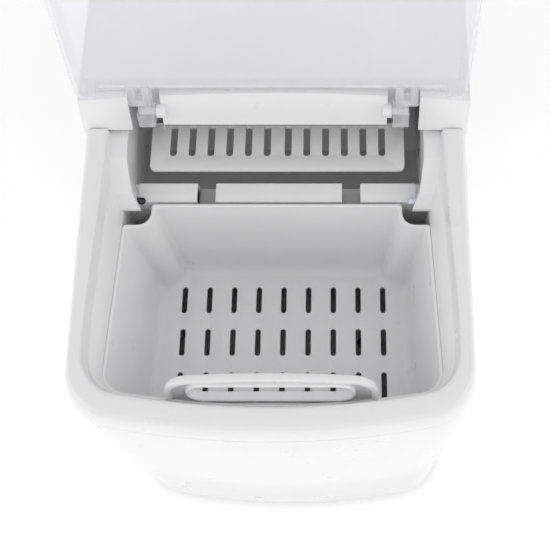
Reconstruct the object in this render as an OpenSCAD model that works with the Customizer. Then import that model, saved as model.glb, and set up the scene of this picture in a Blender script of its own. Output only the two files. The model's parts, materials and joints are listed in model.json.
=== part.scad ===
// Countertop bullet-ice maker with its clear lid open.
// The frame has +X to the user's right, +Y to the rear and +Z up, with the
// origin on the floor under the middle of the housing.

/* [Housing] */
// Width of the housing
body_w = 242; // [240:1:246]
// Depth of the housing, from the middle of the bowed front to the rear
body_d = 358; // [354:1:362]
// Radius of the bow across the front
bow_r = 530; // [500:10:600]
// Radius of the front corners of the housing
corner_r = 32; // [28:1:34]
// Thickness of the outer panels
wall = 2.5; // [2:0.1:2.8]
// Height of the rubber feet
foot_h = 6; // [5:0.5:7]
// Height of the rim of the opening at its front edge
rim_z = 294; // [293:0.5:295]
// Slope of the rim, rising to the rear
rim_slope = 3.6; // [3.4:0.1:3.8]
// Depth of the rim band, from its top down to the seam
bezel_h = 12; // [11:0.5:13]

/* [Lid] */
// Height of the lid hinge
hinge_z = 317; // [316.5:0.5:317.5]
// Distance of the lid hinge behind the middle of the housing
hinge_y = 20; // [19.5:0.5:20.5]
// Angle of the open lid from its closed place
lid_open = 107; // [104:1:108]
// Height of the lid above the rim
lid_h = 18; // [17:0.5:18.5]
// Thickness of the clear plastic
lid_t = 2.5; // [2:0.1:3]

/* [Basket] */
// Height of the basket rim
basket_z = 275; // [274:0.5:276]
// Depth of the basket
basket_h = 98; // [92:1:102]
// Half width of the basket at its rim
basket_hw = 98.5; // [97:0.5:99]
// Height of the handle arch above the rim
arch_h = 24; // [23:1:27]
// Width of the finger hole in the handle
finger_w = 96; // [90:1:100]

/* [Ice making] */
// Distance of the tray axis behind the middle of the housing
tray_y = 57; // [56.5:0.5:57.5]
// Height of the tray axis
tray_z = 280; // [279.5:0.5:280.5]
// Inner radius of the tray
tray_r = 24; // [23.5:0.5:24]
// Radius of the tip of the ice shovel about the tray axis
shovel_r = 59; // [56:1:60]
// Number of slots in the ice shovel
slot_count = 12; // [10:2:12]
// Number of freezing fingers
finger_count = 6; // [4:1:6]

/* [Hidden] */
$fn = 48;

white = "#f2f3f4";
grey = "#8d9196";
metal = "#c4c8cc";
copper = "#c57f4e";

hw = body_w / 2;
front_y = -body_d / 2;
rear_y = body_d / 2;
fit = 0.3;
slope = tan(rim_slope);
rim_y = -160.6;
open_hw = 111;
open_corner_r = 25;
cover_y = 14;
cover_z = 305;
cover_top = 328;
panel_z0 = foot_h + 2;
rear_face_y = rear_y - 2.6;
liner_hw = 105;
liner_t = 2;
liner_front = -159;
tank_floor = 88;
tank_rear = 50;
tank_top = 170;
notch_x = [-46, 48];
ledge_front = -21.5;
ledge_z = 273;
ramp_r = 65.5;
arch_hw = 63.5;
handle_y = -147.5;
handle_lean = 14;
chamber_rear = 86;
eps = 0.01;
cover_x = 90.5;
dome_y = -22.6;
dome_z = 276.8;
dome_r = 2.3;
basket_spread = 0.05;
drain_z = 34;
gland_z = 34;

// ---------- shared shapes ----------

function arc_pts(cx, cy, r, a0, a1, n, last = true) =
  [for (i = [0:last ? n : n - 1]) [cx + r * cos(a0 + (a1 - a0) * i / n),
                                   cy + r * sin(a0 + (a1 - a0) * i / n)]];

// Plan outline with a bowed front, round front corners and small rear corners.
// Each front corner is tangent to the side and to the bow.
function bowed_outline(w2, fy, bow, cr, ry, rr) =
  let (bc = fy + bow, cx = w2 - cr)
  let (cy = bc - sqrt(pow(bow - cr, 2) - cx * cx), t = asin(cx / (bow - cr)))
  concat(
    arc_pts(0, bc, bow, 270 - t, 270 + t, 12, false),
    arc_pts(cx, cy, cr, 270 + t, 360, 8),
    arc_pts(w2 - rr, ry - rr, rr, 0, 90, 5),
    arc_pts(rr - w2, ry - rr, rr, 90, 180, 5),
    arc_pts(-cx, cy, cr, 180, 270 - t, 8, false));

module body_outline(inset = 0) {
  polygon(bowed_outline(hw - inset, front_y + inset, bow_r - inset, corner_r - inset,
                        rear_y - inset, 8 - inset));
}

module opening_outline(grow = 0) {
  polygon(bowed_outline(open_hw + grow, rim_y - grow, bow_r, open_corner_r + grow,
                        cover_y + 40, 4));
}

function rim_height(y) = rim_z + (y - rim_y) * slope;

// Everything below the sloping rim plane, lowered by drop.
module below_rim(drop = 0) {
  translate([0, rim_y, rim_z - drop])
    rotate([rim_slope, 0, 0])
      translate([-200, -100, -400])
        cube([400, 500, 400]);
}

// Everything above the sloping rim plane, lowered by drop.
module above_rim(drop = 0) {
  translate([0, rim_y, rim_z - drop])
    rotate([rim_slope, 0, 0])
      translate([-200, -100, 0])
        cube([400, 500, 200]);
}

module box(x0, x1, y0, y1, z0, z1) {
  translate([x0, y0, z0]) cube([x1 - x0, y1 - y0, z1 - z0]);
}

module rod_x(x0, x1, y, z, r) {
  translate([x0, y, z]) rotate([0, 90, 0]) cylinder(h = x1 - x0, r = r);
}

module rod_y(x, y0, y1, z, r) {
  translate([x, y0, z]) rotate([-90, 0, 0]) cylinder(h = y1 - y0, r = r);
}

module rod_z(x, y, z0, z1, r) {
  translate([x, y, z0]) cylinder(h = z1 - z0, r = r);
}

// A bent pipe: straight runs along the axes between the points, with ball corners.
module pipe(points, r) {
  for (i = [0:len(points) - 2]) {
    a = points[i];
    b = points[i + 1];
    d = b - a;
    run = norm(d);
    translate(a)
      rotate([0, acos(d[2] / run), atan2(d[1], d[0])])
        cylinder(h = run, r = r, $fn = 24);
    if (i > 0) translate(a) sphere(r = r + 0.1, $fn = 24);
  }
}

module mirrored() {
  children();
  mirror([1, 0, 0]) children();
}

// ---------- housing ----------

module base_pan() {
  color(grey) difference() {
    translate([0, 0, foot_h]) linear_extrude(16) body_outline(wall + fit);
    translate([0, 0, foot_h + 3]) linear_extrude(20) body_outline(wall + fit + 2);
    for (x = [-95, 95], y = [-135, 150]) rod_z(x, y, 0, 20, 2.1);
    for (x = [-60, 60], y = [-150, 0]) rod_z(x, y, 0, 20, 1.6);
  }
}

module rubber_feet() {
  color("#2b2b2d") for (x = [-95, 95], y = [-135, 150])
    translate([x, y, 0]) difference() {
      union() {
        cylinder(h = foot_h, r1 = 10, r2 = 11);
        cylinder(h = foot_h + 3, r = 2.1);
      }
      translate([0, 0, -eps]) cylinder(h = 2, r = 4);
    }
}

module shell_band() {
  intersection() {
    translate([0, 0, panel_z0]) linear_extrude(320) difference() {
      body_outline();
      body_outline(wall);
    }
    below_rim(bezel_h);
  }
}

module front_panel() {
  color(white) intersection() {
    shell_band();
    box(-130, 130, -190, -136, 0, 330);
  }
}

// Louvres in the side panels, a field of level slots.
module louvres(x, y0, y1, z0, rows, pitch) {
  for (i = [0:rows - 1]) box(x - 8, x + 8, y0, y1, z0 + i * pitch, z0 + i * pitch + 4);
}

module left_side_panel() {
  color(white) difference() {
    intersection() {
      shell_band();
      box(-130, -100, -136, 190, 0, 330);
    }
    louvres(-hw, 75, 150, 40, 12, 9);
  }
}

module right_side_panel() {
  color(white) difference() {
    intersection() {
      shell_band();
      box(100, 130, -136, 190, 0, 330);
    }
    louvres(hw, 75, 150, 40, 12, 9);
  }
}

module rear_panel() {
  color(grey) difference() {
    box(-112, 112, rear_face_y - 2, rear_face_y, 22.5, 300);
    for (x = [22:10:92], z = [40, 84, 128]) box(x, x + 5, 160, 190, z, z + 36);
    rod_y(0, 160, 190, drain_z, 9.3);
    rod_y(84, 160, 190, gland_z, 6.2);
    for (x = [-94, 94], z = [60, 270]) rod_y(x, 160, 190, z, 1.6);
  }
}

module rear_panel_screws() {
  color(metal) for (x = [-94, 94], z = [60, 270]) {
    rod_y(x, rear_face_y - 4, rear_face_y, z, 1.6);
    rod_y(x, rear_face_y, rear_face_y + 2, z, 3.4);
  }
}

module base_screws() {
  color(metal) for (x = [-60, 60], y = [-150, 0]) {
    rod_z(x, y, foot_h - 2, foot_h, 3.4);
    rod_z(x, y, foot_h, foot_h + 2.9, 1.6);
  }
}

// Rim of the opening: a flat band with a rounded shoulder down to a seam groove.
module top_bezel() {
  color(white) difference() {
    union() {
      intersection() {
        translate([0, 0, 250]) linear_extrude(90) body_outline();
        below_rim(5);
        above_rim(bezel_h - 1);
      }
      intersection() {
        translate([0, 0, 250]) linear_extrude(90) body_outline(2.5);
        below_rim(2);
        above_rim(bezel_h);
      }
      intersection() {
        translate([0, 0, 250]) linear_extrude(90) body_outline(6);
        below_rim();
        above_rim(bezel_h);
      }
    }
    translate([0, 0, 200]) linear_extrude(150) opening_outline();
    box(-130, 130, cover_y, 200, 200, 400);
  }
}

// ---------- rear cover and controls ----------

// Crown of the rear cover in section across the machine.
function crown_pts(drop) =
  let (r = 1400)
  [for (i = [-7:7]) let (x = -i * 18) [x, cover_top - drop - r + sqrt(r * r - x * x)]];

// The rear cover as a solid, its front face leaning back.
module cover_solid(inset) {
  intersection() {
    translate([0, 0, 200]) linear_extrude(200) body_outline(inset);
    translate([0, 190, 0]) rotate([90, 0, 0]) linear_extrude(200)
      polygon(concat([[130, 200], [130, 280]], crown_pts(inset), [[-130, 280], [-130, 200]]));
    translate([-150, cover_y + 1.5 + inset, cover_z])
      rotate([-24, 0, 0]) translate([0, 0, -150]) cube([300, 400, 300]);
  }
}

module rear_top_cover() {
  color(white) difference() {
    intersection() {
      cover_solid(0);
      union() {
        box(-130, 130, 0, 200, cover_z, 400);
        difference() {
          box(-130, 130, cover_y, 200, 290, 400);
          below_rim(bezel_h);
          box(-108, 108, 0, 190, 280, 303);
        }
      }
    }
    intersection() {
      cover_solid(wall);
      box(-130, 130, 0, 200, 200, 400);
    }
    // Notches for the lid hinges, open to the front and the top.
    mirrored() box(70, 90, 0, hinge_y + 12, 290, 340);
    mirrored() rod_x(67.2, 70.2, hinge_y, hinge_z, 2.4);
    // Holes for the button stems and the lights.
    for (x = [-45, 45]) rod_z(x, 118, 300, 340, 7.3);
    for (x = [-16:8:16]) rod_z(x, 118, 300, 340, 1.6);
  }
  // A cheek and a collar beside each hinge notch carry the pin.
  color(white) mirrored() difference() {
    union() {
      intersection() {
        box(67.4, 70, cover_y + 3, hinge_y + 12, 308, 340);
        cover_solid(0.5);
      }
      rod_x(67, 72.6, hinge_y, hinge_z, 4.4);
    }
    rod_x(67.5, 74, hinge_y, hinge_z, 2.4);
  }
  // Back wall of each hinge notch.
  color(white) mirrored() intersection() {
    box(67.4, 92, hinge_y + 12, hinge_y + 14, 303, 340);
    cover_solid(0.5);
  }
}

module control_panel() {
  color("#d8dbde") difference() {
    intersection() {
      box(-66, 66, 98, 138, 300, 400);
      difference() {
        translate([0, 0, 1]) cover_solid(0);
        cover_solid(0);
      }
    }
    for (x = [-45, 45]) rod_z(x, 118, 300, 340, 7.3);
    for (x = [-16:8:16]) rod_z(x, 118, 300, 340, 1.6);
  }
}

module indicator_lights() {
  color("#9fd6a8") for (x = [-16:8:16]) rod_z(x, 118, 313.3, 329.2, 1.5);
}

module display_board() {
  color("#2e6b3f") difference() {
    box(-64, 64, 100, 136, 311.5, 313);
    for (x = [-58, 58], y = [104, 132]) rod_z(x, y, 300, 320, 1.6);
  }
  color("#1d1d1f") for (x = [-45, 45]) box(x - 4, x + 4, 114, 122, 313, 316);
}

module button_cap(x) {
  rod_z(x, 118, 318, 330, 7);
  rod_z(x, 118, 317.2, 318, 3);
}

module power_button() { color("#e6e8ea") button_cap(-45); }

module select_button() { color("#e6e8ea") button_cap(45); }

// ---------- liner ----------

// Cavity of the liner in section: tank, basket well, ledge and round ice chute.
module liner_section(t) {
  polygon(concat(
    [[liner_front - t, 310], [liner_front - t, tank_floor + 6 - t],
     [liner_front + 6 - t, tank_floor - t], [tank_rear + t, tank_floor - 4 - t],
     [tank_rear + t, 205 + t]],
    [[ledge_front + t, 205 + t], [ledge_front + t, ledge_z - t]],
    arc_pts(tray_y, tray_z, ramp_r + t, 187.5, 262, 14),
    [[chamber_rear + t, 236 - t], [chamber_rear + t, 310]]));
}

module liner_plan(grow) {
  polygon(bowed_outline(liner_hw + grow, liner_front - grow, bow_r, 19 + grow,
                        chamber_rear + grow, 4));
}

module liner_body(t) {
  intersection() {
    translate([0, 0, 50]) linear_extrude(300) liner_plan(t);
    translate([-150, 0, 0]) rotate([90, 0, 90]) linear_extrude(300) liner_section(t);
  }
}

// The whole moulded interior, before it is parted into tank, liner and chute.
module interior() {
  difference() {
    union() {
      liner_body(liner_t);
      // Flange under the rim band.
      intersection() {
        translate([0, 0, 250]) linear_extrude(80) difference() {
          body_outline(wall + 1);
          liner_plan(0);
        }
        above_rim(bezel_h + 2);
        box(-130, 130, -190, chamber_rear + liner_t, 200, 400);
      }
    }
    above_rim(bezel_h);
    liner_body(0);
    // Drain notches through the ledge.
    for (x = notch_x) box(x - 6, x + 6, -40, 12, 255, 300);
    // Return slots from the chute to the tank, outlets to the drain and to the pump.
    for (x = [-50, 0, 50]) box(x - 8, x + 8, 34, 40, 200, 230);
    rod_z(0, 40, 60, 100, 5);
    rod_z(60, -60, 60, 100, 5);
    // Passages for the tray shaft and the pump hose.
    rod_x(-120, 120, tray_y, tray_z, 6.3);
    rod_z(113.5, 40, 250, 330, 4.4);
  }
}

module water_tank() {
  color("#e9ebed") intersection() {
    interior();
    box(-130, 130, -190, 190, 0, tank_top);
  }
}

module inner_liner() {
  color("#e9ebed") intersection() {
    interior();
    box(-130, 130, -190, ledge_front, tank_top, 400);
  }
  // Pads under the basket.
  color("#e9ebed") mirrored() for (y = [-125, -60])
    box(86, 104.5, y, y + 30, tank_top + 2, basket_z - basket_h - 0.2);
}

module ice_chute() {
  color("#e9ebed") intersection() {
    interior();
    box(-130, 130, ledge_front, 190, tank_top, 400);
  }
  // Ledge between the basket well and the chute.
  color("#e9ebed") difference() {
    box(-90, 90, ledge_front, -8.2, ledge_z - 2, ledge_z);
    for (x = notch_x) box(x - 6, x + 6, -40, 12, 255, 300);
  }
}

module tank_insulation() {
  color("#f4f0dc") mirrored() box(107.4, 109, -110, 30, 100, 240);
  color("#f4f0dc") box(-90, 90, tank_rear + 3, tank_rear + 13, 152, 200);
}

// ---------- ice sensor covers ----------

// Side profile of a sensor cover: a faceted nose that slopes down to the front.
module cover_profile(t) {
  polygon([[-28.5 + t, 273.6 + t], [-28.5 + t, 278], [-22.5 + t, 288 - t], [-3, 297.5 - t],
           [chamber_rear - 2 - t, 300 - t], [chamber_rear - 2 - t, 246 + t], [10 + t, 246 + t],
           [-4 + t, 262], [-9 + t, 273.6 + t]]);
}

module sensor_cover() {
  difference() {
    translate([cover_x, 0, 0]) rotate([90, 0, 90]) linear_extrude(14) cover_profile(0);
    translate([cover_x + 2, 0, 0]) rotate([90, 0, 90]) linear_extrude(14) cover_profile(2);
    rod_x(80, 95, tray_y, tray_z, 6.3);
    rod_x(80, 95, dome_y, dome_z, dome_r);
  }
}

module right_sensor_cover() { color(white) sensor_cover(); }

module left_sensor_cover() { color(white) mirror([1, 0, 0]) sensor_cover(); }

module ir_dome() {
  rod_x(cover_x - 2, cover_x + 4, dome_y, dome_z, dome_r);
  translate([cover_x - 2, dome_y, dome_z]) sphere(r = dome_r);
}

module ice_full_receiver() { color("#1c1c20") mirror([1, 0, 0]) ir_dome(); }

module ice_full_emitter() { color("#dfe6ea") ir_dome(); }

// ---------- lid ----------

// The lid is drawn closed about its hinge axis, then turned open.
module lid_closed() {
  lid_hw = 116;
  lid_front = -170;
  difference() {
    intersection() {
      translate([0, 0, 200]) linear_extrude(200)
        polygon(bowed_outline(lid_hw, lid_front, bow_r, 27, 0, 6));
      above_rim(-0.3);
      below_rim(-lid_h);
    }
    intersection() {
      translate([0, 0, 200]) linear_extrude(200)
        polygon(bowed_outline(lid_hw - lid_t, lid_front + lid_t, bow_r, 24.5, -lid_t, 4));
      below_rim(lid_t - lid_h);
    }
    // The rear wall stops short of the chute.
    box(-105, 105, -5, 5, 290, hinge_z - 2);
  }
  // Each hinge has a bored block, and two arms that a bridge joins to it.
  mirrored() {
    difference() {
      union() {
        rod_x(73.1, 83, hinge_y, hinge_z, 6.2);
        box(73.1, 83, hinge_y - 5, hinge_y + 5, hinge_z - 9.5, hinge_z);
        box(74.5, 79, -1.5, hinge_y, hinge_z - 4, hinge_z + 4);
      }
      rod_x(72, 84, hinge_y, hinge_z, 2.5);
    }
    box(78.9, 88, hinge_y - 11, hinge_y - 7, hinge_z - 4, hinge_z + 4);
    box(83.5, 88, -1.5, hinge_y - 7, hinge_z - 4, hinge_z + 4);
  }
}

module lid() {
  color([0.85, 0.9, 0.92, 0.4])
    translate([0, hinge_y, hinge_z]) rotate([-lid_open, 0, 0])
      translate([0, -hinge_y, -hinge_z]) lid_closed();
}

module hinge_pins() {
  color(white) mirrored() rod_x(67.6, 82.8, hinge_y, hinge_z, 2.4);
}

// ---------- basket ----------

// Right half of the basket's plan: bowed front, front corner, side and notched rear corner.
function basket_side(inset) =
  let (r = bow_r - inset, corner = 15 - inset, centre = -157 + bow_r)
  let (cx = basket_hw - inset - corner, cy = centre - sqrt(pow(r - corner, 2) - cx * cx))
  let (t = asin(cx / (r - corner)))
  concat(
  arc_pts(0, centre, r, 270, 270 + t, 6, false),
  arc_pts(cx, cy, corner, 270 + t, 360, 6),
  [[basket_hw - inset, -38 - inset]],
  arc_pts(basket_hw - 9.6, -30, 8 + inset, 270, 180, 5),
  [[basket_hw - 17.6 - inset, -23.5 - inset]]);

// The sides spread towards the front.
function spread(points) =
  [for (p = points) [p[0] * (1 + basket_spread * max(0, -38 - p[1]) / 102), p[1]]];

function flip(points) = [for (i = [len(points) - 1:-1:1]) [-points[i][0], points[i][1]]];

module basket_plan(inset) {
  polygon(spread(concat(basket_side(inset), flip(basket_side(inset)))));
}

// A drafted solid under the basket rim, smaller at its foot.
module basket_taper(inset, z0) {
  translate([0, -88, basket_z])
    mirror([0, 0, 1])
      linear_extrude(basket_z - z0, scale = [0.94, 0.93], slices = 1)
        translate([0, 88]) basket_plan(inset);
}

// The handle rises from the front wall and leans back over the basket.
module basket_handle() {
  shoulder_r = 16;
  shoulder_x = arch_hw - shoulder_r;
  shoulder_z = arch_h - 2 - shoulder_r;
  crown_r = 600;
  translate([0, handle_y, basket_z]) rotate([90 - handle_lean, 0, 0]) linear_extrude(5) difference() {
    polygon(concat(
      [[-arch_hw, -5], [arch_hw, -5]],
      arc_pts(shoulder_x, shoulder_z, shoulder_r, 0, 85, 8),
      [for (x = [30:-10:-30]) [x, arch_h - x * x / (2 * crown_r)]],
      arc_pts(-shoulder_x, shoulder_z, shoulder_r, 95, 180, 8)));
    // Finger hole with round ends.
    translate([0, 8.5]) {
      square([finger_w - 15, 15], center = true);
      for (x = [7.5 - finger_w / 2, finger_w / 2 - 7.5]) translate([x, 0]) circle(r = 7.5);
    }
  }
}

module ice_basket() {
  color(white) difference() {
    union() {
      basket_taper(0, basket_z - basket_h);
      basket_handle();
    }
    difference() {
      translate([0, 0, eps]) basket_taper(2.4, basket_z - basket_h + 2.4);
      box(-67, 67, -160, -146, basket_z - 3, basket_z + 1);
    }
    // Drain slots in the floor.
    for (x = [-72:18:72], y = [-130:32:-50]) box(x - 2, x + 2, y, y + 20, 170, 182);
  }
}

// ---------- tray, shovel and drive ----------

module water_tray() {
  color("#dfe3e6") difference() {
    rod_x(-84, 84, tray_y, tray_z, tray_r + 1.6);
    rod_x(-82, 82, tray_y, tray_z, tray_r);
    box(-100, 100, tray_y - 30, tray_y + 30, tray_z, tray_z + 40);
    translate([-100, tray_y, tray_z]) rotate([-12, 0, 0]) cube([200, 40, 40]);
  }
}

// Slotted plate with round front corners and a lip down each side.
module ice_shovel() {
  pitch = 12.25;
  plate_hw = 82.6;
  corner = 3.5;
  front = tray_y - shovel_r;
  slot_front = front + 12.5;
  color("#eef0f1") difference() {
    union() {
      box(-plate_hw, plate_hw, front + corner, tray_y - tray_r - 1.6, tray_z - 2.6, tray_z);
      box(corner - plate_hw, plate_hw - corner, front, front + corner, tray_z - 2.6, tray_z);
      mirrored() rod_z(plate_hw - corner, front + corner, tray_z - 2.6, tray_z, corner);
      mirrored() box(plate_hw - 2, plate_hw, front + 8, tray_y - tray_r - 1, tray_z - 10, tray_z - 2);
    }
    for (i = [0:slot_count / 2 - 1]) mirrored() {
      x = 6.8 + i * pitch;
      box(x - 2.3, x + 2.3, slot_front, tray_y - tray_r - 3, 270, 290);
      rod_z(x, slot_front, 270, 290, 2.3);
    }
  }
}

module tray_shaft() {
  color(white) mirrored() rod_x(84, 88.8, tray_y, tray_z, 6);
  color(white) rod_x(-100, -88.8, tray_y, tray_z, 6);
  color(white) difference() {
    rod_x(88.8, 91.7, tray_y, tray_z, 6);
    rod_x(88.8, 92, tray_y, tray_z, 2.8);
  }
}

module gear_motor() {
  color(metal) {
    rod_x(92.9, 103, tray_y - 10, tray_z - 10, 15.5);
    rod_x(92.9, 103, tray_y, tray_z, 7);
    rod_x(89.2, 92.9, tray_y, tray_z, 2.5);
  }
  color(grey) box(92.9, 102, tray_y - 40, tray_y - 25, tray_z - 18, tray_z - 6);
}

module tray_limit_switch() {
  color("#26282b") box(-102.5, -94, tray_y - 28, tray_y - 10, 262, 274);
  color(metal) box(-100, -96.5, tray_y - 26, tray_y - 9, 274, 274.6);
}

// ---------- refrigeration ----------

finger_pitch = 27;

module evaporator_tube() {
  color(copper) rod_x(-92, 84, tray_y, 313, 4.8);
}

module evaporator_fingers() {
  color(metal) for (i = [0:finger_count - 1]) {
    x = (i - (finger_count - 1) / 2) * finger_pitch;
    difference() {
      union() {
        rod_z(x, tray_y, 264, 309.8, 4.5);
        translate([x, tray_y, 264]) sphere(r = 4.5);
      }
      rod_x(-90, 90, tray_y, 313, 4.8);
    }
  }
}

module suction_tube() {
  color(copper) pipe([[-87, tray_y + 4.9, 313], [-87, 100, 313],
                      [-87, 100, 168], [-72, 100, 168], [-72, 100, 146]], 4);
}

module hot_gas_valve() {
  color("#b9a04f") rod_z(0, 116, 196, 224, 9);
  color("#26282b") box(-12, 12, 104, 128, 224, 250);
}

module discharge_tube() {
  color(copper) {
    pipe([[-40, 120, 148], [-40, 120, 210], [-9, 116, 210]], 3);
    pipe([[9, 116, 210], [20, 116, 210], [20, 164, 210], [20, 164, 170]], 3);
    pipe([[0, 116, 250], [0, 116, 305], [66, 116, 305], [66, 92, 305], [66, 92, 313],
          [66, tray_y + 5, 313]], 2.4);
  }
}

module filter_drier() {
  color(copper) {
    rod_z(96, 120, 190, 250, 8);
    translate([96, 120, 190]) sphere(r = 8);
    translate([96, 120, 250]) sphere(r = 8);
  }
}

module capillary_tube() {
  color(copper) pipe([[96, 120, 258], [96, 120, 313], [96, tray_y, 313], [84, tray_y, 313]], 1.2);
}

module compressor() {
  color("#1e1f22") {
    difference() {
      union() {
        rod_z(-58, 116, 34, 122, 46);
        translate([-58, 116, 122]) scale(1) rotate_extrude($fn = 64)
          polygon(concat([[0, 0]], [for (a = [0:10:90]) [46 * cos(a), 24 * sin(a)]]));
        box(-104, -12, 76, 156, 26, 30);
        rod_z(-58, 116, 30, 34, 36);
      }
      for (x = [-98, -18], y = [82, 150]) rod_z(x, y, 20, 40, 5);
    }
  }
  color(copper) {
    rod_z(-72, 100, 136, 146, 4.6);
    rod_z(-40, 120, 136, 148, 3.6);
  }
}

module compressor_cover() {
  color("#3a3d41") box(-78, -38, 62, 69.5, 70, 112);
}

module compressor_mounts() {
  color("#2b2b2d") for (x = [-98, -18], y = [82, 150]) {
    rod_z(x, y, foot_h + 3, 26, 8);
    rod_z(x, y, 26, 31, 4.8);
    rod_z(x, y, 30, 33, 7);
  }
}

module condenser_fins() {
  color(metal) difference() {
    for (i = [0:23]) box(16 + i * 3.8, 16.6 + i * 3.8, 152, 172, 48, 166);
    for (z = [55:24:160], y = [162]) rod_x(0, 120, y, z, 3.6);
  }
}

module condenser_coil() {
  color(copper) {
    for (z = [55:24:160]) rod_x(12, 108, 162, z, 3.5);
    for (i = [0:3]) {
      z = 55 + 24 * i;
      x = i % 2 == 0 ? 108 : 12;
      rod_z(x, 162, z, z + 24, 3.5);
    }
  }
}

module fan_shroud() {
  color("#2c2e31") difference() {
    box(12, 108, 128, 150, 42, 162);
    rod_y(60, 127, 151, 102, 45);
  }
  color("#2c2e31") difference() {
    union() {
      box(12, 108, 124.5, 128, 99, 105);
      rod_y(60, 124.5, 128, 102, 16);
    }
    rod_y(60, 120, 130, 102, 3.4);
  }
}

module fan_motor() {
  color("#55585c") rod_y(60, 100, 124.5, 102, 15);
  color(metal) rod_y(60, 124.5, 133.7, 102, 2.5);
}

module fan_blade() {
  color("#3b3e42") {
    difference() {
      rod_y(60, 130, 144, 102, 13);
      rod_y(60, 129, 134, 102, 2.8);
    }
    for (a = [0:60:300]) translate([60, 137, 102]) rotate([0, a, 0])
      translate([12, 0, 0]) rotate([32, 0, 0]) translate([0, -0.8, -9]) cube([29, 1.6, 18]);
  }
}

// ---------- water circuit ----------

module water_pump() {
  color("#3f4a55") difference() {
    union() {
      rod_z(60, -60, 40, 78, 20);
      rod_z(60, -60, 78, 83.9, 7);
      rod_x(60, 94, -60, 70, 4.5);
    }
    rod_z(60, -60, 62, 74, 16);
    rod_z(60, -60, 73, 90, 4);
    rod_x(70, 95, -60, 70, 2.8);
  }
  color("#2d3238") box(44, 76, -76, -44, foot_h + 3, 40);
}

module pump_impeller() {
  color("#e6e8ea") {
    rod_z(60, -60, 64, 66, 14);
    for (a = [0:60:300]) translate([60, -60, 66]) rotate([0, 0, a])
      translate([3, -0.7, 0]) cube([10, 1.4, 6]);
    rod_z(60, -60, 66, 72, 3.2);
  }
}

module pump_hose() {
  color("#c9d3d8") pipe([[94, -60, 70], [113.5, -60, 70], [113.5, -60, 180],
                         [113.5, 40, 180], [113.5, 40, 304], [113.5, 96, 304],
                         [78, 96, 308], [78, 74, 308]], 4);
}

module float_stem() {
  color("#d9dcde") {
    rod_z(-86, -60, tank_floor - 1.5, 150, 3);
    rod_z(-86, -60, 150, 153, 6);
    rod_z(-86, -60, tank_floor - 1.5, tank_floor + 4, 7);
  }
}

module water_float() {
  color("#f6f6f2") difference() {
    rod_z(-86, -60, tank_floor + 4.3, tank_floor + 20, 13);
    rod_z(-86, -60, 80, 160, 3.4);
  }
}

module drain_hose() {
  color("#c9d3d8") pipe([[0, 40, 86], [0, 40, drain_z], [0, 160, drain_z]], 5);
}

module drain_port() {
  color("#e6e8ea") difference() {
    union() {
      rod_y(0, 160, rear_face_y, drain_z, 9);
      rod_y(0, 168, rear_face_y - 2, drain_z, 12);
    }
    rod_y(0, 166, 190, drain_z, 6.2);
    rod_y(0, 159, 190, drain_z, 3.5);
  }
}

module drain_seal() {
  color("#2b2b2d") translate([0, rear_face_y, drain_z]) rotate([-90, 0, 0])
    difference() {
      cylinder(h = 1, r = 8.6);
      translate([0, 0, -1]) cylinder(h = 3, r = 6.3);
    }
}

module drain_plug() {
  color("#e6e8ea") {
    rod_y(0, rear_face_y - 9, rear_face_y + 1, drain_z, 6);
    rod_y(0, rear_face_y + 1, rear_face_y + 2.4, drain_z, 8.8);
  }
}

// ---------- electrics ----------

module main_circuit_board() {
  color("#2e6b3f") difference() {
    box(-96, -6, -148, -68, 20, 21.6);
    for (x = [-91, -11], y = [-143, -73]) rod_z(x, y, 15, 25, 1.6);
  }
  color("#24262a") {
    box(-86, -56, -136, -106, 21.6, 46);
    box(-48, -38, -138, -112, 21.6, 36);
    for (x = [-30:12:-18], y = [-130:14:-90]) rod_z(x, y, 21.6, 38, 4.5);
    box(-88, -44, -98, -84, 21.6, 32);
  }
}

module board_standoffs() {
  color("#d9dcde") for (x = [-91, -11], y = [-143, -73]) {
    rod_z(x, y, foot_h + 3, 20, 3.5);
    rod_z(x, y, 20, 24, 1.5);
  }
}

module cord_gland() {
  color("#1c1c1e") difference() {
    union() {
      rod_y(84, 166, rear_face_y - 2, gland_z, 9);
      rod_y(84, rear_face_y - 2, rear_face_y, gland_z, 6);
      rod_y(84, rear_face_y, rear_y - 0.2, gland_z, 9);
    }
    rod_y(84, 160, 190, gland_z, 3.8);
  }
}

base_pan();
rubber_feet();
front_panel();
left_side_panel();
right_side_panel();
rear_panel();
top_bezel();
inner_liner();
ice_chute();
water_tank();
tank_insulation();
rear_top_cover();
control_panel();
indicator_lights();
display_board();
power_button();
select_button();
left_sensor_cover();
right_sensor_cover();
ice_full_receiver();
ice_full_emitter();
lid();
hinge_pins();
ice_basket();
water_tray();
ice_shovel();
tray_shaft();
gear_motor();
tray_limit_switch();
evaporator_tube();
evaporator_fingers();
suction_tube();
discharge_tube();
hot_gas_valve();
filter_drier();
capillary_tube();
compressor();
compressor_cover();
compressor_mounts();
condenser_fins();
condenser_coil();
fan_shroud();
fan_motor();
fan_blade();
water_pump();
pump_impeller();
pump_hose();
float_stem();
water_float();
drain_hose();
drain_port();
drain_seal();
drain_plug();
main_circuit_board();
board_standoffs();
cord_gland();
rear_panel_screws();
base_screws();
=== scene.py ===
"""Looks of the countertop ice maker: fine meshes, materials, light and camera."""
import json
import math

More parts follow.
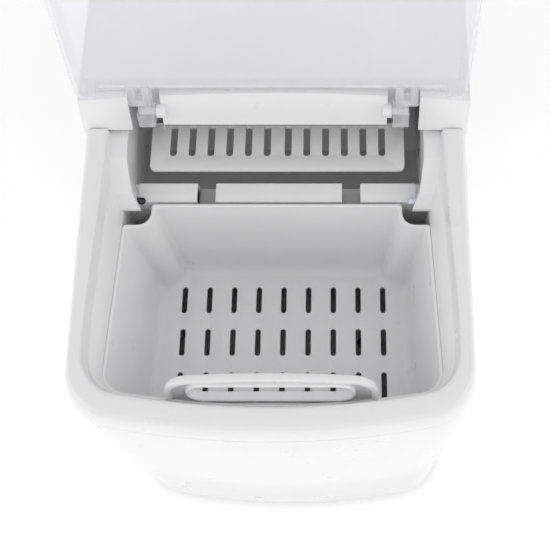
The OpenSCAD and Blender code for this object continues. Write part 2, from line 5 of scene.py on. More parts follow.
import bmesh
import bpy
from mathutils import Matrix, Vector


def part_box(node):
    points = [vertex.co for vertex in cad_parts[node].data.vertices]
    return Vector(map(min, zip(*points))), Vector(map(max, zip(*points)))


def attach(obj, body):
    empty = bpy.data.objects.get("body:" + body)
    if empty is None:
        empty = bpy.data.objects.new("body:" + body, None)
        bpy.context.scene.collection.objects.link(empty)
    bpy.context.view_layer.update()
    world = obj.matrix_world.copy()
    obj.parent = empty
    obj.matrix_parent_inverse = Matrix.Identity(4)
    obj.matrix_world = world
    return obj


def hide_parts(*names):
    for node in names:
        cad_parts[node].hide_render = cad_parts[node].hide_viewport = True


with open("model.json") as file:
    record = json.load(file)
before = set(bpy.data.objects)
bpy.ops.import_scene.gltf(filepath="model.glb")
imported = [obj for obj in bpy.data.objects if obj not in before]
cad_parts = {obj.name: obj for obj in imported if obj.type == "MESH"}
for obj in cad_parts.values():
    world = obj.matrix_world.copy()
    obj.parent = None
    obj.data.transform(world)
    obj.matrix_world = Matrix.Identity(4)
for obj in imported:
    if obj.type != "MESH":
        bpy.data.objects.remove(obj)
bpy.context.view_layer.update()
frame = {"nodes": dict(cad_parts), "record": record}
BODY_OF = {node: body for body, nodes in frame["record"]["behaviour"]["bodies"].items() for node in nodes}
MM = 0.001
WELD_M = 0.00001


# ---------- materials ----------

class Shader:
    """A Principled material under construction, with helpers for its noise and bump."""

    def __init__(self, name, color, roughness, **inputs):
        self.material = bpy.data.materials.new(name)
        self.material.use_nodes = True
        self.tree = self.material.node_tree
        self.bsdf = self.tree.nodes["Principled BSDF"]
        self.color = (*color, 1.0)
        self.bsdf.inputs["Base Color"].default_value = self.color
        self.bsdf.inputs["Roughness"].default_value = roughness
        for key, value in inputs.items():
            self.bsdf.inputs[key.replace("_", " ")].default_value = value
        self.coords = self.tree.nodes.new("ShaderNodeTexCoord")
        self.height = None

    def link(self, output, socket):
        self.tree.links.new(output, socket)

    def noise(self, scale, detail, stretch):
        mapping = self.tree.nodes.new("ShaderNodeMapping")
        mapping.inputs["Scale"].default_value = stretch
        self.link(self.coords.outputs["Object"], mapping.inputs["Vector"])
        tex = self.tree.nodes.new("ShaderNodeTexNoise")
        tex.inputs["Scale"].default_value = scale
        tex.inputs["Detail"].default_value = detail
        self.link(mapping.outputs["Vector"], tex.inputs["Vector"])
        return tex.outputs["Fac"]

    def spread(self, fac, low, high):
        """Maps a noise value to low..high."""
        node = self.tree.nodes.new("ShaderNodeMapRange")
        node.inputs["From Min"].default_value = 0.3
        node.inputs["From Max"].default_value = 0.7
        node.inputs["To Min"].default_value = low
        node.inputs["To Max"].default_value = high
        self.link(fac, node.inputs["Value"])
        return node.outputs["Result"]

    def vary_roughness(self, scale, low, high, stretch=(1, 1, 1)):
        self.link(self.spread(self.noise(scale, 4.0, stretch), low, high), self.bsdf.inputs["Roughness"])
        return self

    def vary_color(self, scale, other, stretch=(1, 1, 1)):
        mix = self.tree.nodes.new("ShaderNodeMix")
        mix.data_type = "RGBA"
        mix.inputs["A"].default_value = self.color
        mix.inputs["B"].default_value = (*other, 1.0)
        self.link(self.spread(self.noise(scale, 4.0, stretch), 0.0, 1.0), mix.inputs["Factor"])
        self.link(mix.outputs["Result"], self.bsdf.inputs["Base Color"])
        return self

    def bump(self, scale, strength, distance=0.0002, stretch=(1, 1, 1)):
        node = self.tree.nodes.new("ShaderNodeBump")
        node.inputs["Strength"].default_value = strength
        node.inputs["Distance"].default_value = distance
        self.link(self.noise(scale, 3.0, stretch), node.inputs["Height"])
        if self.height is not None:
            self.link(self.height, node.inputs["Normal"])
        self.height = node.outputs["Normal"]
        self.link(self.height, self.bsdf.inputs["Normal"])
        return self


def gloss_white(name, color=(0.89, 0.893, 0.897), rough=(0.27, 0.33)):
    """Moulded white plastic: a faint fine grain and uneven gloss."""
    shader = Shader(name, color, rough[0], IOR=1.5, Coat_Weight=0.15, Coat_Roughness=0.2)
    shader.vary_color(9.0, tuple(c * 0.985 for c in color))
    shader.vary_roughness(38.0, *rough)
    shader.bump(160.0, 0.012, 0.00002)
    return shader.material


def matt_plastic(name, color, rough=(0.42, 0.56), grain=0.22):
    """Moulded plastic with a fine spark-eroded grain."""
    shader = Shader(name, color, rough[0], IOR=1.48, Specular_IOR_Level=0.42)
    shader.vary_color(14.0, tuple(c * 0.93 for c in color))
    shader.vary_roughness(55.0, *rough)
    shader.bump(1700.0, grain, 0.0001)
    return shader.material


def clear_plastic(name):
    """Thin frosted clear plastic with handling haze."""
    shader = Shader(name, (0.93, 0.94, 0.95), 0.08, IOR=1.3, Alpha=0.34)
    shader.vary_color(12.0, (0.9, 0.915, 0.93))
    shader.vary_roughness(24.0, 0.05, 0.14)
    return shader.material


def metal(name, color, rough, stretch=(1, 1, 1), grain=0.12):
    """Bare metal with brush or draw lines along one axis."""
    shader = Shader(name, color, rough[0], Metallic=1.0, Anisotropic=0.35)
    shader.vary_color(20.0, tuple(c * 0.86 for c in color))
    shader.vary_roughness(60.0, *rough, stretch=stretch)
    shader.bump(700.0, grain, 0.00008, stretch=stretch)
    return shader.material


def soft_rubber(name, color, rough=(0.55, 0.72)):
    """Dull rubber or soft hose with a fine grain."""
    shader = Shader(name, color, rough[0], Specular_IOR_Level=0.35, Sheen_Weight=0.15, Sheen_Roughness=0.5)
    shader.vary_color(30.0, tuple(min(1.0, c * 1.5 + 0.01) for c in color))
    shader.vary_roughness(80.0, *rough)
    shader.bump(1200.0, 0.3, 0.0001)
    return shader.material


def foam(name, color):
    """Open-celled foam sheet."""
    shader = Shader(name, color, 0.85, Specular_IOR_Level=0.2, Subsurface_Weight=0.1, Subsurface_Scale=0.004)
    shader.vary_color(120.0, tuple(c * 0.85 for c in color))
    shader.bump(420.0, 0.7, 0.0006)
    return shader.material


def enamel(name, color):
    """Baked enamel over steel, a little uneven."""
    shader = Shader(name, color, 0.28, Coat_Weight=0.4, Coat_Roughness=0.15)
    shader.vary_color(16.0, tuple(c * 1.5 for c in color))
    shader.vary_roughness(30.0, 0.22, 0.4)
    shader.bump(320.0, 0.12, 0.0002)
    return shader.material


def circuit_board(name):
    """Green lacquered board with faint tracks."""
    shader = Shader(name, (0.03, 0.16, 0.07), 0.35, Coat_Weight=0.3, Coat_Roughness=0.2)
    shader.vary_color(90.0, (0.06, 0.24, 0.1), stretch=(1, 6, 1))
    shader.vary_roughness(60.0, 0.3, 0.45)
    shader.bump(240.0, 0.2, 0.0002, stretch=(1, 5, 1))
    return shader.material


MATERIALS = {
    "white_plastic": gloss_white("white_plastic"),
    "liner_plastic": matt_plastic("liner_plastic", (0.92, 0.922, 0.925), (0.34, 0.46), 0.04),
    "pin_plastic": matt_plastic("pin_plastic", (0.8, 0.81, 0.82), (0.3, 0.42), 0.04),
    "clear_plastic": clear_plastic("clear_plastic"),
    "panel_plastic": matt_plastic("panel_plastic", (0.62, 0.64, 0.66)),
    "button_plastic": gloss_white("button_plastic", (0.78, 0.79, 0.8), (0.3, 0.42)),
    "light_lens": gloss_white("light_lens", (0.34, 0.62, 0.4), (0.12, 0.2)),
    "dark_lens": gloss_white("dark_lens", (0.012, 0.012, 0.016), (0.06, 0.14)),
    "pale_lens": gloss_white("pale_lens", (0.72, 0.76, 0.79), (0.06, 0.14)),
    "grey_plastic": matt_plastic("grey_plastic", (0.2, 0.21, 0.22)),
    "dark_plastic": matt_plastic("dark_plastic", (0.03, 0.032, 0.035)),
    "drain_plastic": matt_plastic("drain_plastic", (0.74, 0.75, 0.76)),
    "hose_rubber": soft_rubber("hose_rubber", (0.5, 0.55, 0.57), (0.3, 0.42)),
    "black_rubber": soft_rubber("black_rubber", (0.015, 0.015, 0.017)),
    "foam": foam("foam", (0.85, 0.8, 0.62)),
    "steel": metal("steel", (0.56, 0.57, 0.58), (0.28, 0.44), (1, 1, 8)),
    "fin_aluminium": metal("fin_aluminium", (0.72, 0.73, 0.74), (0.3, 0.46), (1, 1, 6)),
    "copper": metal("copper", (0.72, 0.36, 0.2), (0.22, 0.42)),
    "valve_brass": metal("valve_brass", (0.66, 0.5, 0.22), (0.25, 0.4)),
    "black_enamel": enamel("black_enamel", (0.01, 0.01, 0.012)),
    "board": circuit_board("board"),
}
SLOT_OF = {part["node"]: part["material_slot"] for part in frame["record"]["subparts"]}


# ---------- mesh helpers ----------

def new_object(name, mesh, node):
    """Puts a mesh in the scene with the finish of a CAD node."""
    obj = bpy.data.objects.new(name, mesh)
    bpy.context.scene.collection.objects.link(obj)
    slot = SLOT_OF[node]
    obj.data.materials.clear()
    obj.data.materials.append(MATERIALS[slot])
    return obj


def smooth(mesh, degrees=35):
    """Shades a mesh smooth, except across edges sharper than the angle."""
    for poly in mesh.polygons:
        poly.use_smooth = True
    mesh.set_sharp_from_angle(angle=math.radians(degrees))


def soften(obj, width, segments=2, degrees=35):
    """Rounds an object's sharp edges by width metres."""
    mod = obj.modifiers.new("edge_round", "BEVEL")
    mod.width = width
    mod.segments = segments
    mod.limit_method = "ANGLE"
    mod.angle_limit = math.radians(degrees)
    mod.use_clamp_overlap = True
    mod.harden_normals = False


def apply_modifiers(obj):
    """Fixes the result of an object's modifiers as its own mesh."""
    graph = bpy.context.evaluated_depsgraph_get()
    mesh = bpy.data.meshes.new_from_object(obj.evaluated_get(graph))
    obj.modifiers.clear()
    obj.data = mesh


def refined(node, width, segments=2, degrees=32):
    """A finer copy of a CAD node: welded, planar faces joined, and every sharp edge rounded."""
    mesh = frame["nodes"][node].data.copy()
    bm = bmesh.new()
    bm.from_mesh(mesh)
    bmesh.ops.remove_doubles(bm, verts=bm.verts, dist=WELD_M)
    bmesh.ops.dissolve_limit(bm, angle_limit=math.radians(1), verts=bm.verts, edges=bm.edges)
    bm.to_mesh(mesh)
    bm.free()
    obj = new_object(node + ".fine", mesh, node)
    smooth(mesh, degrees)
    soften(obj, width, segments, degrees)
    apply_modifiers(obj)
    smooth(obj.data, degrees)
    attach(obj, BODY_OF[node])
    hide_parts(node)
    return obj


def loft(name, rings, closed=True, caps=False):
    """A skin over rings of equal length. Each ring is a list of points in metres."""
    mesh = bpy.data.meshes.new(name)
    count = len(rings[0])
    verts = [point for ring in rings for point in ring]
    faces = []
    for r in range(len(rings) - 1):
        for i in range(count if closed else count - 1):
            j = (i + 1) % count
            faces.append((r * count + i, r * count + j, (r + 1) * count + j, (r + 1) * count + i))
    if caps:
        faces.append(tuple(reversed(range(count))))
        faces.append(tuple(range((len(rings) - 1) * count, len(rings) * count)))
    mesh.from_pydata(verts, [], faces)
    bm = bmesh.new()
    bm.from_mesh(mesh)
    bmesh.ops.recalc_face_normals(bm, faces=bm.faces)
    bm.to_mesh(mesh)
    bm.free()
    return mesh


def arc(cx, cy, r, a0, a1, n):
    """n + 1 points on a circle from angle a0 to angle a1, in degrees."""
    return [(cx + r * math.cos(math.radians(a0 + (a1 - a0) * i / n)),
             cy + r * math.sin(math.radians(a0 + (a1 - a0) * i / n))) for i in range(n + 1)]


def bowed_outline(half_w, front, bow, corner, rear, rear_r, n):
    """Plan outline with a bowed front: [(x, y), ...] in millimetres, anticlockwise from the front left."""
    centre = front + bow
    cx = half_w - corner
    cy = centre - math.sqrt((bow - corner) ** 2 - cx * cx)
    t = math.degrees(math.asin(cx / (bow - corner)))
    return (arc(0, centre, bow, 270 - t, 270 + t, 2 * n)[:-1] + arc(cx, cy, corner, 270 + t, 360, n)
            + arc(half_w - rear_r, rear - rear_r, rear_r, 0, 90, 6)
            + arc(rear_r - half_w, rear - rear_r, rear_r, 90, 180, 6)
            + arc(-cx, cy, corner, 180, 270 - t, n)[:-1])


def at_height(outline, height):
    """Lifts a plan outline: height is a number or a function of (x, y), all in millimetres."""
    return [(x * MM, y * MM, (height(x, y) if callable(height) else height) * MM) for x, y in outline]


def cut(obj, cutters):
    """Cuts helper meshes out of an object, then removes the helpers."""
    for cutter in cutters:
        mod = obj.modifiers.new("cut", "BOOLEAN")
        mod.object = cutter
        mod.operation = "DIFFERENCE"
        mod.solver = "EXACT"
    apply_modifiers(obj)
    for cutter in cutters:
        bpy.data.objects.remove(cutter)


def helper(mesh):
    """Puts a bare mesh in the scene, to cut with or to finish as a piece."""
    obj = bpy.data.objects.new("helper", mesh)
    bpy.context.scene.collection.objects.link(obj)
    return obj


def block(x0, x1, y0, y1, z0, z1):
    """A helper box, in millimetres."""
    ring = [(x0, y0), (x1, y0), (x1, y1), (x0, y1)]
    return helper(loft("helper", [at_height(ring, z0), at_height(ring, z1)], caps=True))


def slot_cutter(x0, x1, y0, y1, z0, z1, r):
    """A helper slot with round corners in plan, in millimetres."""
    ring = (arc(x1 - r, y0 + r, r, 270, 360, 6) + arc(x1 - r, y1 - r, r, 0, 90, 6)
            + arc(x0 + r, y1 - r, r, 90, 180, 6) + arc(x0 + r, y0 + r, r, 180, 270, 6))
    return helper(loft("helper", [at_height(ring, z0), at_height(ring, z1)], caps=True))


def piece(obj, body, *nodes):
    """Makes an object a piece of a body, standing for the CAD nodes named."""
    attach(obj, body)
    if nodes:
        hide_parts(*nodes)


def liner_block(name, corners, width):
    """A small rounded block in the liner's finish, with no CAD node of its own."""
    obj = block(*corners)
    obj.name = name
    obj.data.materials.append(MATERIALS["liner_plastic"])
    soften(obj, width, 3)
    apply_modifiers(obj)
    piece(obj, "machine")


# ---------- shared sizes, in millimetres ----------

def mm_box(node):
    """Lowest and highest corner of a CAD node, in millimetres."""
    low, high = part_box(node)
    return [v / MM for v in low], [v / MM for v in high]


# Read from the frame.
HALF_W = mm_box("front_panel")[1][0]
FRONT_Y = mm_box("front_panel")[0][1]
COVER_Y = mm_box("rear_top_cover")[0][1]
BASKET_FLOOR = mm_box("ice_basket")[0][2]

# The front of the housing, the rim, the well and the basket all bow with this radius in plan.
BOW_R = 530.0
CORNER_R = 32.0
REAR_CORNER_R = 1.0

# The rim plane rises towards the rear from the opening's front edge.
RIM_Y, RIM_Z = -160.6, 294.0
SLOPE = math.tan(math.radians(3.6))
RIM_BOTTOM = 13.5

# The opening, which narrows between NARROW_Y and the middle of the part.
OPEN_HW, OPEN_CORNER = 111.0, 25.0
NARROW_Y, NARROWING = -106.0, 5.8

# The well's straight wall below the flare.
WELL_HW, WELL_FRONT_Y, WELL_CORNER = 105.0, -159.0, 19.0

# How far up the flared wall, from the straight wall to the rim, the liner meets the rim band.
FLARE = 0.68

# The basket at its rim, and how far its walls lean in by the floor, as a share of the width and depth.
BASKET_Z, BASKET_HW = 275.0, 98.5
BASKET_FRONT_Y, BASKET_CORNER = -157.0, 15.0
BASKET_MIDDLE_Y = -88.0
BASKET_WALL = 2.4
DRAFT_X, DRAFT_Y = 0.06, 0.07

# The round notch in each rear corner of the basket: how far in from the side, where, and how wide.
NOTCH_INSET, NOTCH_Y, NOTCH_R = 9.6, -30.0, 8.0


def rim_height(drop):
    """The height of the rim plane less a drop, as a function of the place in plan."""
    return lambda x, y: RIM_Z + (y - RIM_Y) * SLOPE - drop


# ---------- outlines of the opening ----------

def opening_half_width(y):
    """The opening narrows towards the rear cover."""
    share = min(1.0, max(0.0, (y - NARROW_Y) / -NARROW_Y))
    return OPEN_HW - NARROWING * share


def narrowed(outline):
    """Moves the sides of an opening outline inwards towards the rear."""
    return [(x * opening_half_width(y) / OPEN_HW, y) for x, y in outline]


def open_front(half_w, front, corner, rear):
    """The front and sides of a bowed outline, as an open line from the left rear to the right rear."""
    n = 14
    outline = bowed_outline(half_w, front, BOW_R, corner, rear, REAR_CORNER_R, n)
    bow, right, left = outline[:2 * n], outline[2 * n:3 * n + 1], outline[-n:]
    sides = [rear + (right[-1][1] - rear) * i / 12 for i in range(12)]
    return ([(-half_w, y) for y in sides] + left + bow + right + [(half_w, y) for y in reversed(sides)])


def liner_line(rear):
    """The well's straight wall in plan, which closes in on the basket towards the rear."""
    start_y, run, closing = -140.0, 102.0, 0.046
    return [(x * (1.0 - closing * min(1.0, max(0.0, (y - start_y) / run))), y)
            for x, y in open_front(WELL_HW, WELL_FRONT_Y, WELL_CORNER, rear)]


def opening_line(rear):
    """The rim's inner edge in plan."""
    return narrowed(open_front(OPEN_HW, RIM_Y, OPEN_CORNER, rear))


def between(a, b, share):
    """Points a share of the way from outline a to outline b."""
    return [(p[0] + (q[0] - p[0]) * share, p[1] + (q[1] - p[1]) * share) for p, q in zip(a, b)]


# ---------- rim of the opening ----------

def make_bezel():
    """The rim band: a rolled inner edge, a flat top, a soft shoulder and a seam groove."""
    rear = COVER_Y + 40
    inner = opening_line(rear)
    outer = open_front(HALF_W, FRONT_Y, CORNER_R, rear)
    # Each step is a share of the way from the inner to the outer edge, and a drop below the rim plane.
    steps = [(0.0, 2.0), (0.015, 1.1), (0.05, 0.4), (0.1, 0.1), (0.2, 0.0), (0.6, 0.0), (0.66, 0.15),
             (0.7, 0.7), (0.745, 0.95), (0.8, 1.6), (0.88, 3.4), (0.95, 6.0), (0.985, 9.0), (1.0, 10.6),
             (0.985, 11.2), (0.93, 11.5), (0.84, 11.6), (0.84, RIM_BOTTOM)]
    flared = between(liner_line(rear), inner, FLARE)
    rings = [at_height(flared, rim_height(RIM_BOTTOM))]
    rings += [at_height(between(inner, outer, share), rim_height(drop)) for share, drop in steps]
    rings.append(rings[0])
    obj = new_object("top_bezel.fine", loft("top_bezel.fine", rings, closed=False), "top_bezel")
    # The band ends where the rear cover begins.
    cut(obj, [block(-140, 140, COVER_Y, 80, 250, 350)])
    smooth(obj.data, 40)
    piece(obj, "machine", "top_bezel")


# ---------- basket ----------

def basket_outline(inset):
    """Plan of the basket with a bowed front and concave rear corners, anticlockwise, shrunk by inset."""
    n, tip_r, rear_y, spread, spread_run = 8, 2, -25.5, 0.05, 102
    hw, centre = BASKET_HW, BASKET_FRONT_Y + BOW_R
    r, corner = BOW_R - inset, BASKET_CORNER - inset
    cx = hw - inset - corner
    cy = centre - math.sqrt((r - corner) ** 2 - cx * cx)
    t = math.degrees(math.asin(cx / (r - corner)))
    side = (arc(0, centre, r, 270, 270 + t, 2 * n)[:-1] + arc(cx, cy, corner, 270 + t, 360, n)
            + [(hw - inset, -100), (hw - inset, -60)]
            + arc(hw - inset - tip_r, NOTCH_Y - NOTCH_R - tip_r - inset, tip_r, 0, 90, 4)
            + arc(hw - NOTCH_INSET, NOTCH_Y, NOTCH_R + inset, 270, 180, n)
            + arc(hw - NOTCH_INSET - NOTCH_R - tip_r - inset, rear_y - inset, tip_r, 0, 90, 3))
    outline = side + [(-x, y) for x, y in reversed(side[1:])]
    # The plan widens towards the front.
    return [(x * (1 + spread * max(0.0, NOTCH_Y - NOTCH_R - y) / spread_run), y) for x, y in outline]


def drafted(outline, z):
    """Moves a basket outline inwards as the drafted walls do at height z."""
    share = (BASKET_Z - z) / (BASKET_Z - BASKET_FLOOR)
    sx, sy = 1 - DRAFT_X * share, 1 - DRAFT_Y * share
    return [(x * sx * MM, (BASKET_MIDDLE_Y + (y - BASKET_MIDDLE_Y) * sy) * MM, z * MM) for x, y in outline]


def make_basket():
    """The drafted basket: rounded floor, thickened and rounded rim, and rows of drain slots."""
    wall, floor, top = BASKET_WALL, BASKET_FLOOR, BASKET_Z
    # Each step is an inset and a height: up the outside, over the rim, and down the inside.
    steps = [(6, floor), (2.2, floor + 0.6), (0.6, floor + 3), (0.3, floor + 9), (0.3, top - 6),
             (0.0, top - 5.4), (0.0, top - 1.0), (0.35, top - 0.25), (0.9, top), (wall - 0.9, top),
             (wall - 0.3, top - 0.3), (wall, top - 1.0), (wall + 0.4, top - 40), (wall + 1.0, top - 41.5),
             (wall + 1.0, floor + 12), (wall + 1.8, floor + 7), (wall + 3.6, floor + 4),
             (wall + 7, floor + wall + 0.2), (11, floor + wall)]
    rings = [drafted(basket_outline(inset), z) for inset, z in steps]
    obj = new_object("ice_basket.fine", loft("ice_basket.fine", rings, caps=True), "ice_basket")
    columns, rows, pitch_x, pitch_y, front_y, half_w, length = 9, 3, 18, 32, -130, 2, 20
    slots = []
    for column in range(columns):
        for row in range(rows):
            x, y = pitch_x * (column - (columns - 1) / 2), front_y + pitch_y * row
            slots.append(slot_cutter(x - half_w, x + half_w, y, y + length, floor - 5, floor + 8, 1.9))
    cut(obj, slots)
    smooth(obj.data, 38)
    soften(obj, 0.0005, 2, 38)
    apply_modifiers(obj)
    smooth(obj.data, 38)
    piece(obj, "basket_body", "ice_basket")


def handle_arch(grow):
    """Points over the handle from its right foot to its left foot: (x, height above its root)."""
    hw, rise, r = 63.5 + grow, 24.0 + grow, 17.0 + grow
    foot, knee, shoulder, crown = -5.0, 2.0, rise - 2.5 - r, 900.0
    return ([(hw, foot), (hw, knee)] + arc(hw - r, shoulder, r, 0, 84, 10)
            + [(x, rise - x * x / crown) for x in (38, 30, 20, 10, 0, -10, -20, -30, -38)]
            + arc(r - hw, shoulder, r, 96, 180, 10) + [(-hw, knee), (-hw, foot)])


def finger_hole(grow, count):
    """The oblong finger hole as count points, from its lower right over to its lower left."""
    middle_z = 8.5
    half, r = 48.0 + grow, 7.5 + grow
    run = half - r
    points = arc(run, middle_z, r, -90, 90, 12) + arc(-run, middle_z, r, 90, 270, 12)
    lengths = [0.0]
    for a, b in zip(points, points[1:]):
        lengths.append(lengths[-1] + math.dist(a, b))
    result, k = [], 0
    for i in range(count):
        goal = lengths[-1] * i / (count - 1)
        while k < len(points) - 2 and lengths[k + 1] < goal:
            k += 1
        share = (goal - lengths[k]) / (lengths[k + 1] - lengths[k])
        a, b = points[k], points[k + 1]
        result.append((a[0] + (b[0] - a[0]) * share, a[1] + (b[1] - a[1]) * share))
    return result


def make_basket_handle():
    """The arched handle that leans back from the front wall, with a lipped finger hole."""
    root_y, lean = -147.5, math.radians(14)

    def place(points, depth):
        """Puts handle points in space: depth is measured forward from the handle's back face."""
        return [(x * MM, (root_y - depth * math.cos(lean) + z * math.sin(lean)) * MM,
                 (BASKET_Z + depth * math.sin(lean) + z * math.cos(lean)) * MM) for x, z in points]

    count = len(handle_arch(0))
    # A flanged plate: back face, rounded outer edge, raised border, sunk face, then the lip of the hole.
    steps = [(-1.1, 0.0), (-0.4, 0.2), (0.0, 1.0), (0.0, 4.2), (-0.4, 4.8), (-1.0, 5.0), (-3.2, 5.0),
             (-3.7, 4.7), (-4.0, 4.0), (-4.2, 2.2), (-4.6, 1.9)]
    hole = [(2.8, 1.9), (2.5, 2.2), (2.4, 3.0), (2.3, 5.2), (1.9, 5.9), (1.3, 6.2), (0.5, 5.9), (0.0, 5.0),
            (0.0, 0.6), (0.5, 0.0)]
    rings = [place(handle_arch(grow), depth) for grow, depth in steps]
    rings += [place(finger_hole(grow, count), depth) for grow, depth in hole]
    rings.append(rings[0])
    obj = new_object("basket_handle", loft("basket_handle", rings), "ice_basket")
    smooth(obj.data, 50)
    piece(obj, "basket_body")


# ---------- liner and sensor covers ----------

def make_liner():
    """The well round the basket: straight walls that flare out to the rim of the opening."""
    bottom = mm_box("inner_liner")[0][2]
    rear = mm_box("ice_chute")[1][1] - 2
    straight, edge = liner_line(rear), opening_line(rear)
    # Each step is a share of the way from the straight wall to the rim, and a height.
    steps = [(0.0, bottom), (0.0, 240), (0.0, 272.5), (0.05, 275.0), (0.16, 277.5),
             (FLARE, rim_height(13.4)), (FLARE + 0.4, rim_height(12.0))]
    rings = [at_height(between(straight, edge, share), height) for share, height in steps]
    obj = new_object("inner_liner.fine", loft("inner_liner.fine", rings, closed=False), "inner_liner")
    shell = obj.modifiers.new("wall", "SOLIDIFY")
    shell.thickness = 0.002
    shell.offset = 1.0
    smooth(obj.data, 50)
    apply_modifiers(obj)
    piece(obj, "machine", "inner_liner")


def make_basket_pads():
    """Four pads on the well's walls that carry the basket."""
    bottom = mm_box("inner_liner")[0][2]
    inner_x, outer_x, length, gap = 86, 104.9, 30, 0.2
    for side, name in ((-1, "left"), (1, "right")):
        for y in (-125, -60):
            x0, x1 = sorted((side * inner_x, side * outer_x))
            corners = (x0, x1, y, y + length, bottom + 2, BASKET_FLOOR - gap)
            liner_block(f"basket_pad_{name}_{abs(y)}", corners, 0.001)


def make_chute():
    """The chute and ledge from the frame, without its upper side walls, which the flared liner covers."""
    wall_x, past = 103.6, 140
    obj = refined("ice_chute", 0.0009, 3)
    cut(obj, [block(*x, -40, 120, 262, 330) for x in ((-past, -wall_x), (wall_x, past))])
    smooth(obj.data, 35)


def make_notch_channels():
    """Floors under the ledge's two notches."""
    half_w = 7.5
    for x, name in ((-46, "left"), (48, "right")):
        liner_block(f"notch_channel_{name}", (x - half_w, x + half_w, -21.2, -3.2, 251.5, 255.5), 0.0008)


def make_sensor_cover(side, node):
    """A faceted arm beside the shovel: its nose slopes down and turns inwards to the front."""
    profile = [(-28.4, 273.6), (-29.0, 275.0), (-28.8, 277.6), (-22.5, 288.0), (-3.0, 298.0), (3.0, 299.0),
               (84.0, 299.9), (84.0, 246.5), (11.0, 246.5), (-4.0, 262.0), (-9.0, 273.6)]
    inner_x, outer_x = 87.1, 101.0
    # Each step is a y and how far outwards both faces stand there.
    turns = [(-28.5, 0.0), (-22.5, 3.9), (-3.0, 6.5), (90.0, 6.5)]

    def across(y, base):
        """How far a face stands off the middle at y."""
        for (y0, a), (y1, b) in zip(turns, turns[1:]):
            if y <= y1:
                return base + a + (b - a) * max(0.0, y - y0) / (y1 - y0)
        return base + turns[-1][1]

    rings = [[(side * across(y, base) * MM, y * MM, z * MM) for y, z in profile]
             for base in (inner_x, outer_x)]
    obj = new_object(node + ".fine", loft(node, rings, caps=True), node)
    bm = bmesh.new()
    bm.from_mesh(obj.data)
    bmesh.ops.triangulate(bm, faces=[f for f in bm.faces if len(f.verts) > 4])
    bm.to_mesh(obj.data)
    bm.free()
    soften(obj, 0.0013, 4, 12)
    apply_modifiers(obj)
    smooth(obj.data, 40)
    piece(obj, "machine", node)


def make_dome(side, node):
    """A sensor dome: a short barrel with a round nose that points inwards."""
    root_x, cx, y, z, r = 94.0, 86.4, -22.6, 276.8, 2.3
    nose = [(cx - r * math.sin(math.radians(a)), math.cos(math.radians(a))) for a in range(15, 90, 15)]
    rings = []
    for x, share in [(root_x, 1.0), (cx, 1.0)] + nose + [(cx - r, 0.02)]:
        ring = arc(y, z, r * share, 0, 360, 24)[:-1]
        rings.append([(side * x * MM, p * MM, q * MM) for p, q in ring])
    obj = new_object(node + ".fine", loft(node, rings, caps=True), node)
    smooth(obj.data, 40)
    piece(obj, "machine", node)


# ---------- the other nodes ----------

def finish_cover(cover):
    """Trims the front edge between the hinges and cuts a shallow groove behind the top edge."""
    crown_r, top, depth = 1400.0, 328.0, 0.9
    front_y, back_y, above, hinge_x = 29.0, 30.4, 4, 69.9
    rings = []
    for x in range(-120, 121, 6):
        z = top - crown_r + math.sqrt(crown_r ** 2 - x * x)
        ring = ((front_y, z - depth), (back_y, z - depth), (back_y, z + above), (front_y, z + above))
        rings.append([(x * MM, y * MM, h * MM) for y, h in ring])
    groove = helper(loft("groove", rings, caps=True))
    cut(cover, [groove, block(-hinge_x, hinge_x, 10.0, 17.6, 290.0, 306.7)])
    smooth(cover.data, 32)


def make_other_nodes():
    """Every node that no function above stands for, with its edges rounded."""
    own = {"top_bezel", "ice_basket", "inner_liner", "ice_chute", "left_sensor_cover", "right_sensor_cover",
           "ice_full_receiver", "ice_full_emitter"}
    # Edge radii in metres, where they are larger than the usual one.
    usual = 0.0003
    widths = {"ice_shovel": 0.0007, "lid": 0.0007, "rear_top_cover": 0.0018, "water_tank": 0.0008,
              "water_tray": 0.0006, "power_button": 0.0008, "select_button": 0.0008, "drain_plug": 0.0006,
              "compressor": 0.001, "fan_blade": 0.0004, "base_pan": 0.001, "rubber_feet": 0.0008}
    for node in frame["nodes"]:
        if node not in own:
            fine = refined(node, widths.get(node, usual))
            if node == "rear_top_cover":
                finish_cover(fine)


# ---------- floor, light and camera ----------

def make_floor():
    """A pale round floor that curves up far away from the object on every side."""
    flat_r, bend_r, height, thickness, hub_r, count = 9.0, 2.5, 4.0, 0.1, 0.5, 96
    wall_r = flat_r + bend_r
    bend = [(flat_r + x, bend_r - y) for x, y in arc(0.0, 0.0, bend_r, 0, 90, 10)]
    profile = ([(wall_r + thickness, -thickness), (wall_r + thickness, height), (wall_r, height)] + bend
               + [(hub_r, 0.0)])
    turns = [math.tau * i / count for i in range(count)]
    rings = [[(r * math.cos(a), r * math.sin(a), z) for a in turns] for r, z in profile]
    obj = helper(loft("floor", rings, caps=True))
    obj.name = "floor"
    smooth(obj.data, 60)
    shader = Shader("floor_paper", (0.9, 0.9, 0.9), 0.7)
    shader.vary_color(3.0, (0.89, 0.89, 0.89)).bump(500.0, 0.05)
    shader.bsdf.inputs["Emission Color"].default_value = (1.0, 1.0, 1.0, 1.0)
    shader.bsdf.inputs["Emission Strength"].default_value = 0.3
    obj.data.materials.append(shader.material)


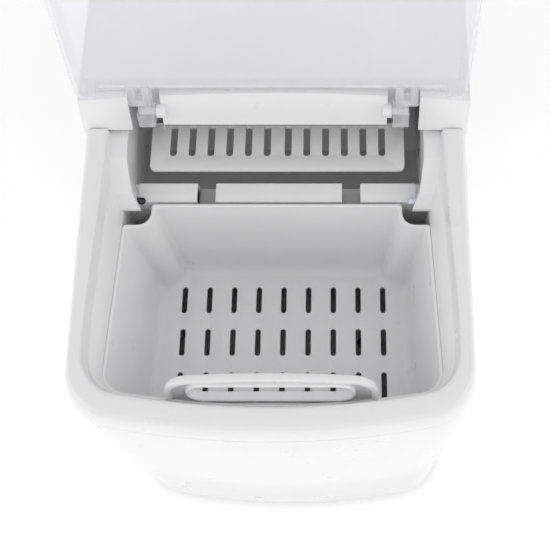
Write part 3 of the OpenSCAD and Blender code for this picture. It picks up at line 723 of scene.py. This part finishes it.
def area_light(name, location, target, size, power):
    """A rectangular soft light that faces a target."""
    data = bpy.data.lights.new(name, "AREA")
    data.shape = "RECTANGLE"
    data.size, data.size_y = size
    data.energy = power
    obj = bpy.data.objects.new(name, data)
    obj.location = location
    obj.rotation_euler = (Vector(target) - Vector(location)).to_track_quat("-Z", "Y").to_euler()
    bpy.context.scene.collection.objects.link(obj)


def make_light():
    """Even white surroundings with a soft light above, one in front and one on each side."""
    scene = bpy.context.scene
    world = bpy.data.worlds.new("studio")
    world.use_nodes = True
    background = world.node_tree.nodes["Background"]
    background.inputs["Color"].default_value = (1.0, 1.0, 1.0, 1.0)
    background.inputs["Strength"].default_value = 0.6
    scene.world = world
    centre = (0.0, 0.0, 0.25)
    fill_size, fill_power = (1.0, 1.2), 4.4
    area_light("overhead", (0.0, -0.4, 1.9), centre, (1.5, 1.1), 1.4)
    area_light("front", (0.1, -1.9, 1.3), (0.0, -0.1, 0.2), (1.6, 0.9), 3.4)
    area_light("left_fill", (-1.6, -0.7, 1.1), centre, fill_size, fill_power)
    area_light("right_fill", (1.6, -0.5, 1.2), centre, fill_size, fill_power)
    scene.view_settings.view_transform = "Standard"
    scene.view_settings.look = "None"
    scene.view_settings.exposure = 0.0


def make_camera():
    """Looks steeply down at the opening from the front, a little to its right."""
    degrees_down = 69.2
    data = bpy.data.cameras.new("camera")
    data.sensor_width = 36.0
    data.lens = 61.3
    data.shift_x = -0.115
    data.clip_start, data.clip_end = 0.05, 20.0
    obj = bpy.data.objects.new("camera", data)
    obj.location = (0.0396, -0.281, 0.823)
    obj.rotation_euler = (math.radians(90 - degrees_down), 0.0, 0.0)
    bpy.context.scene.collection.objects.link(obj)
    bpy.context.scene.camera = obj


# ---------- building ----------

make_bezel()
make_basket()
make_basket_handle()
make_liner()
make_basket_pads()
make_chute()
make_notch_channels()
make_sensor_cover(-1, "left_sensor_cover")
make_sensor_cover(1, "right_sensor_cover")
make_dome(-1, "ice_full_receiver")
make_dome(1, "ice_full_emitter")
make_other_nodes()
make_floor()
make_light()
make_camera()
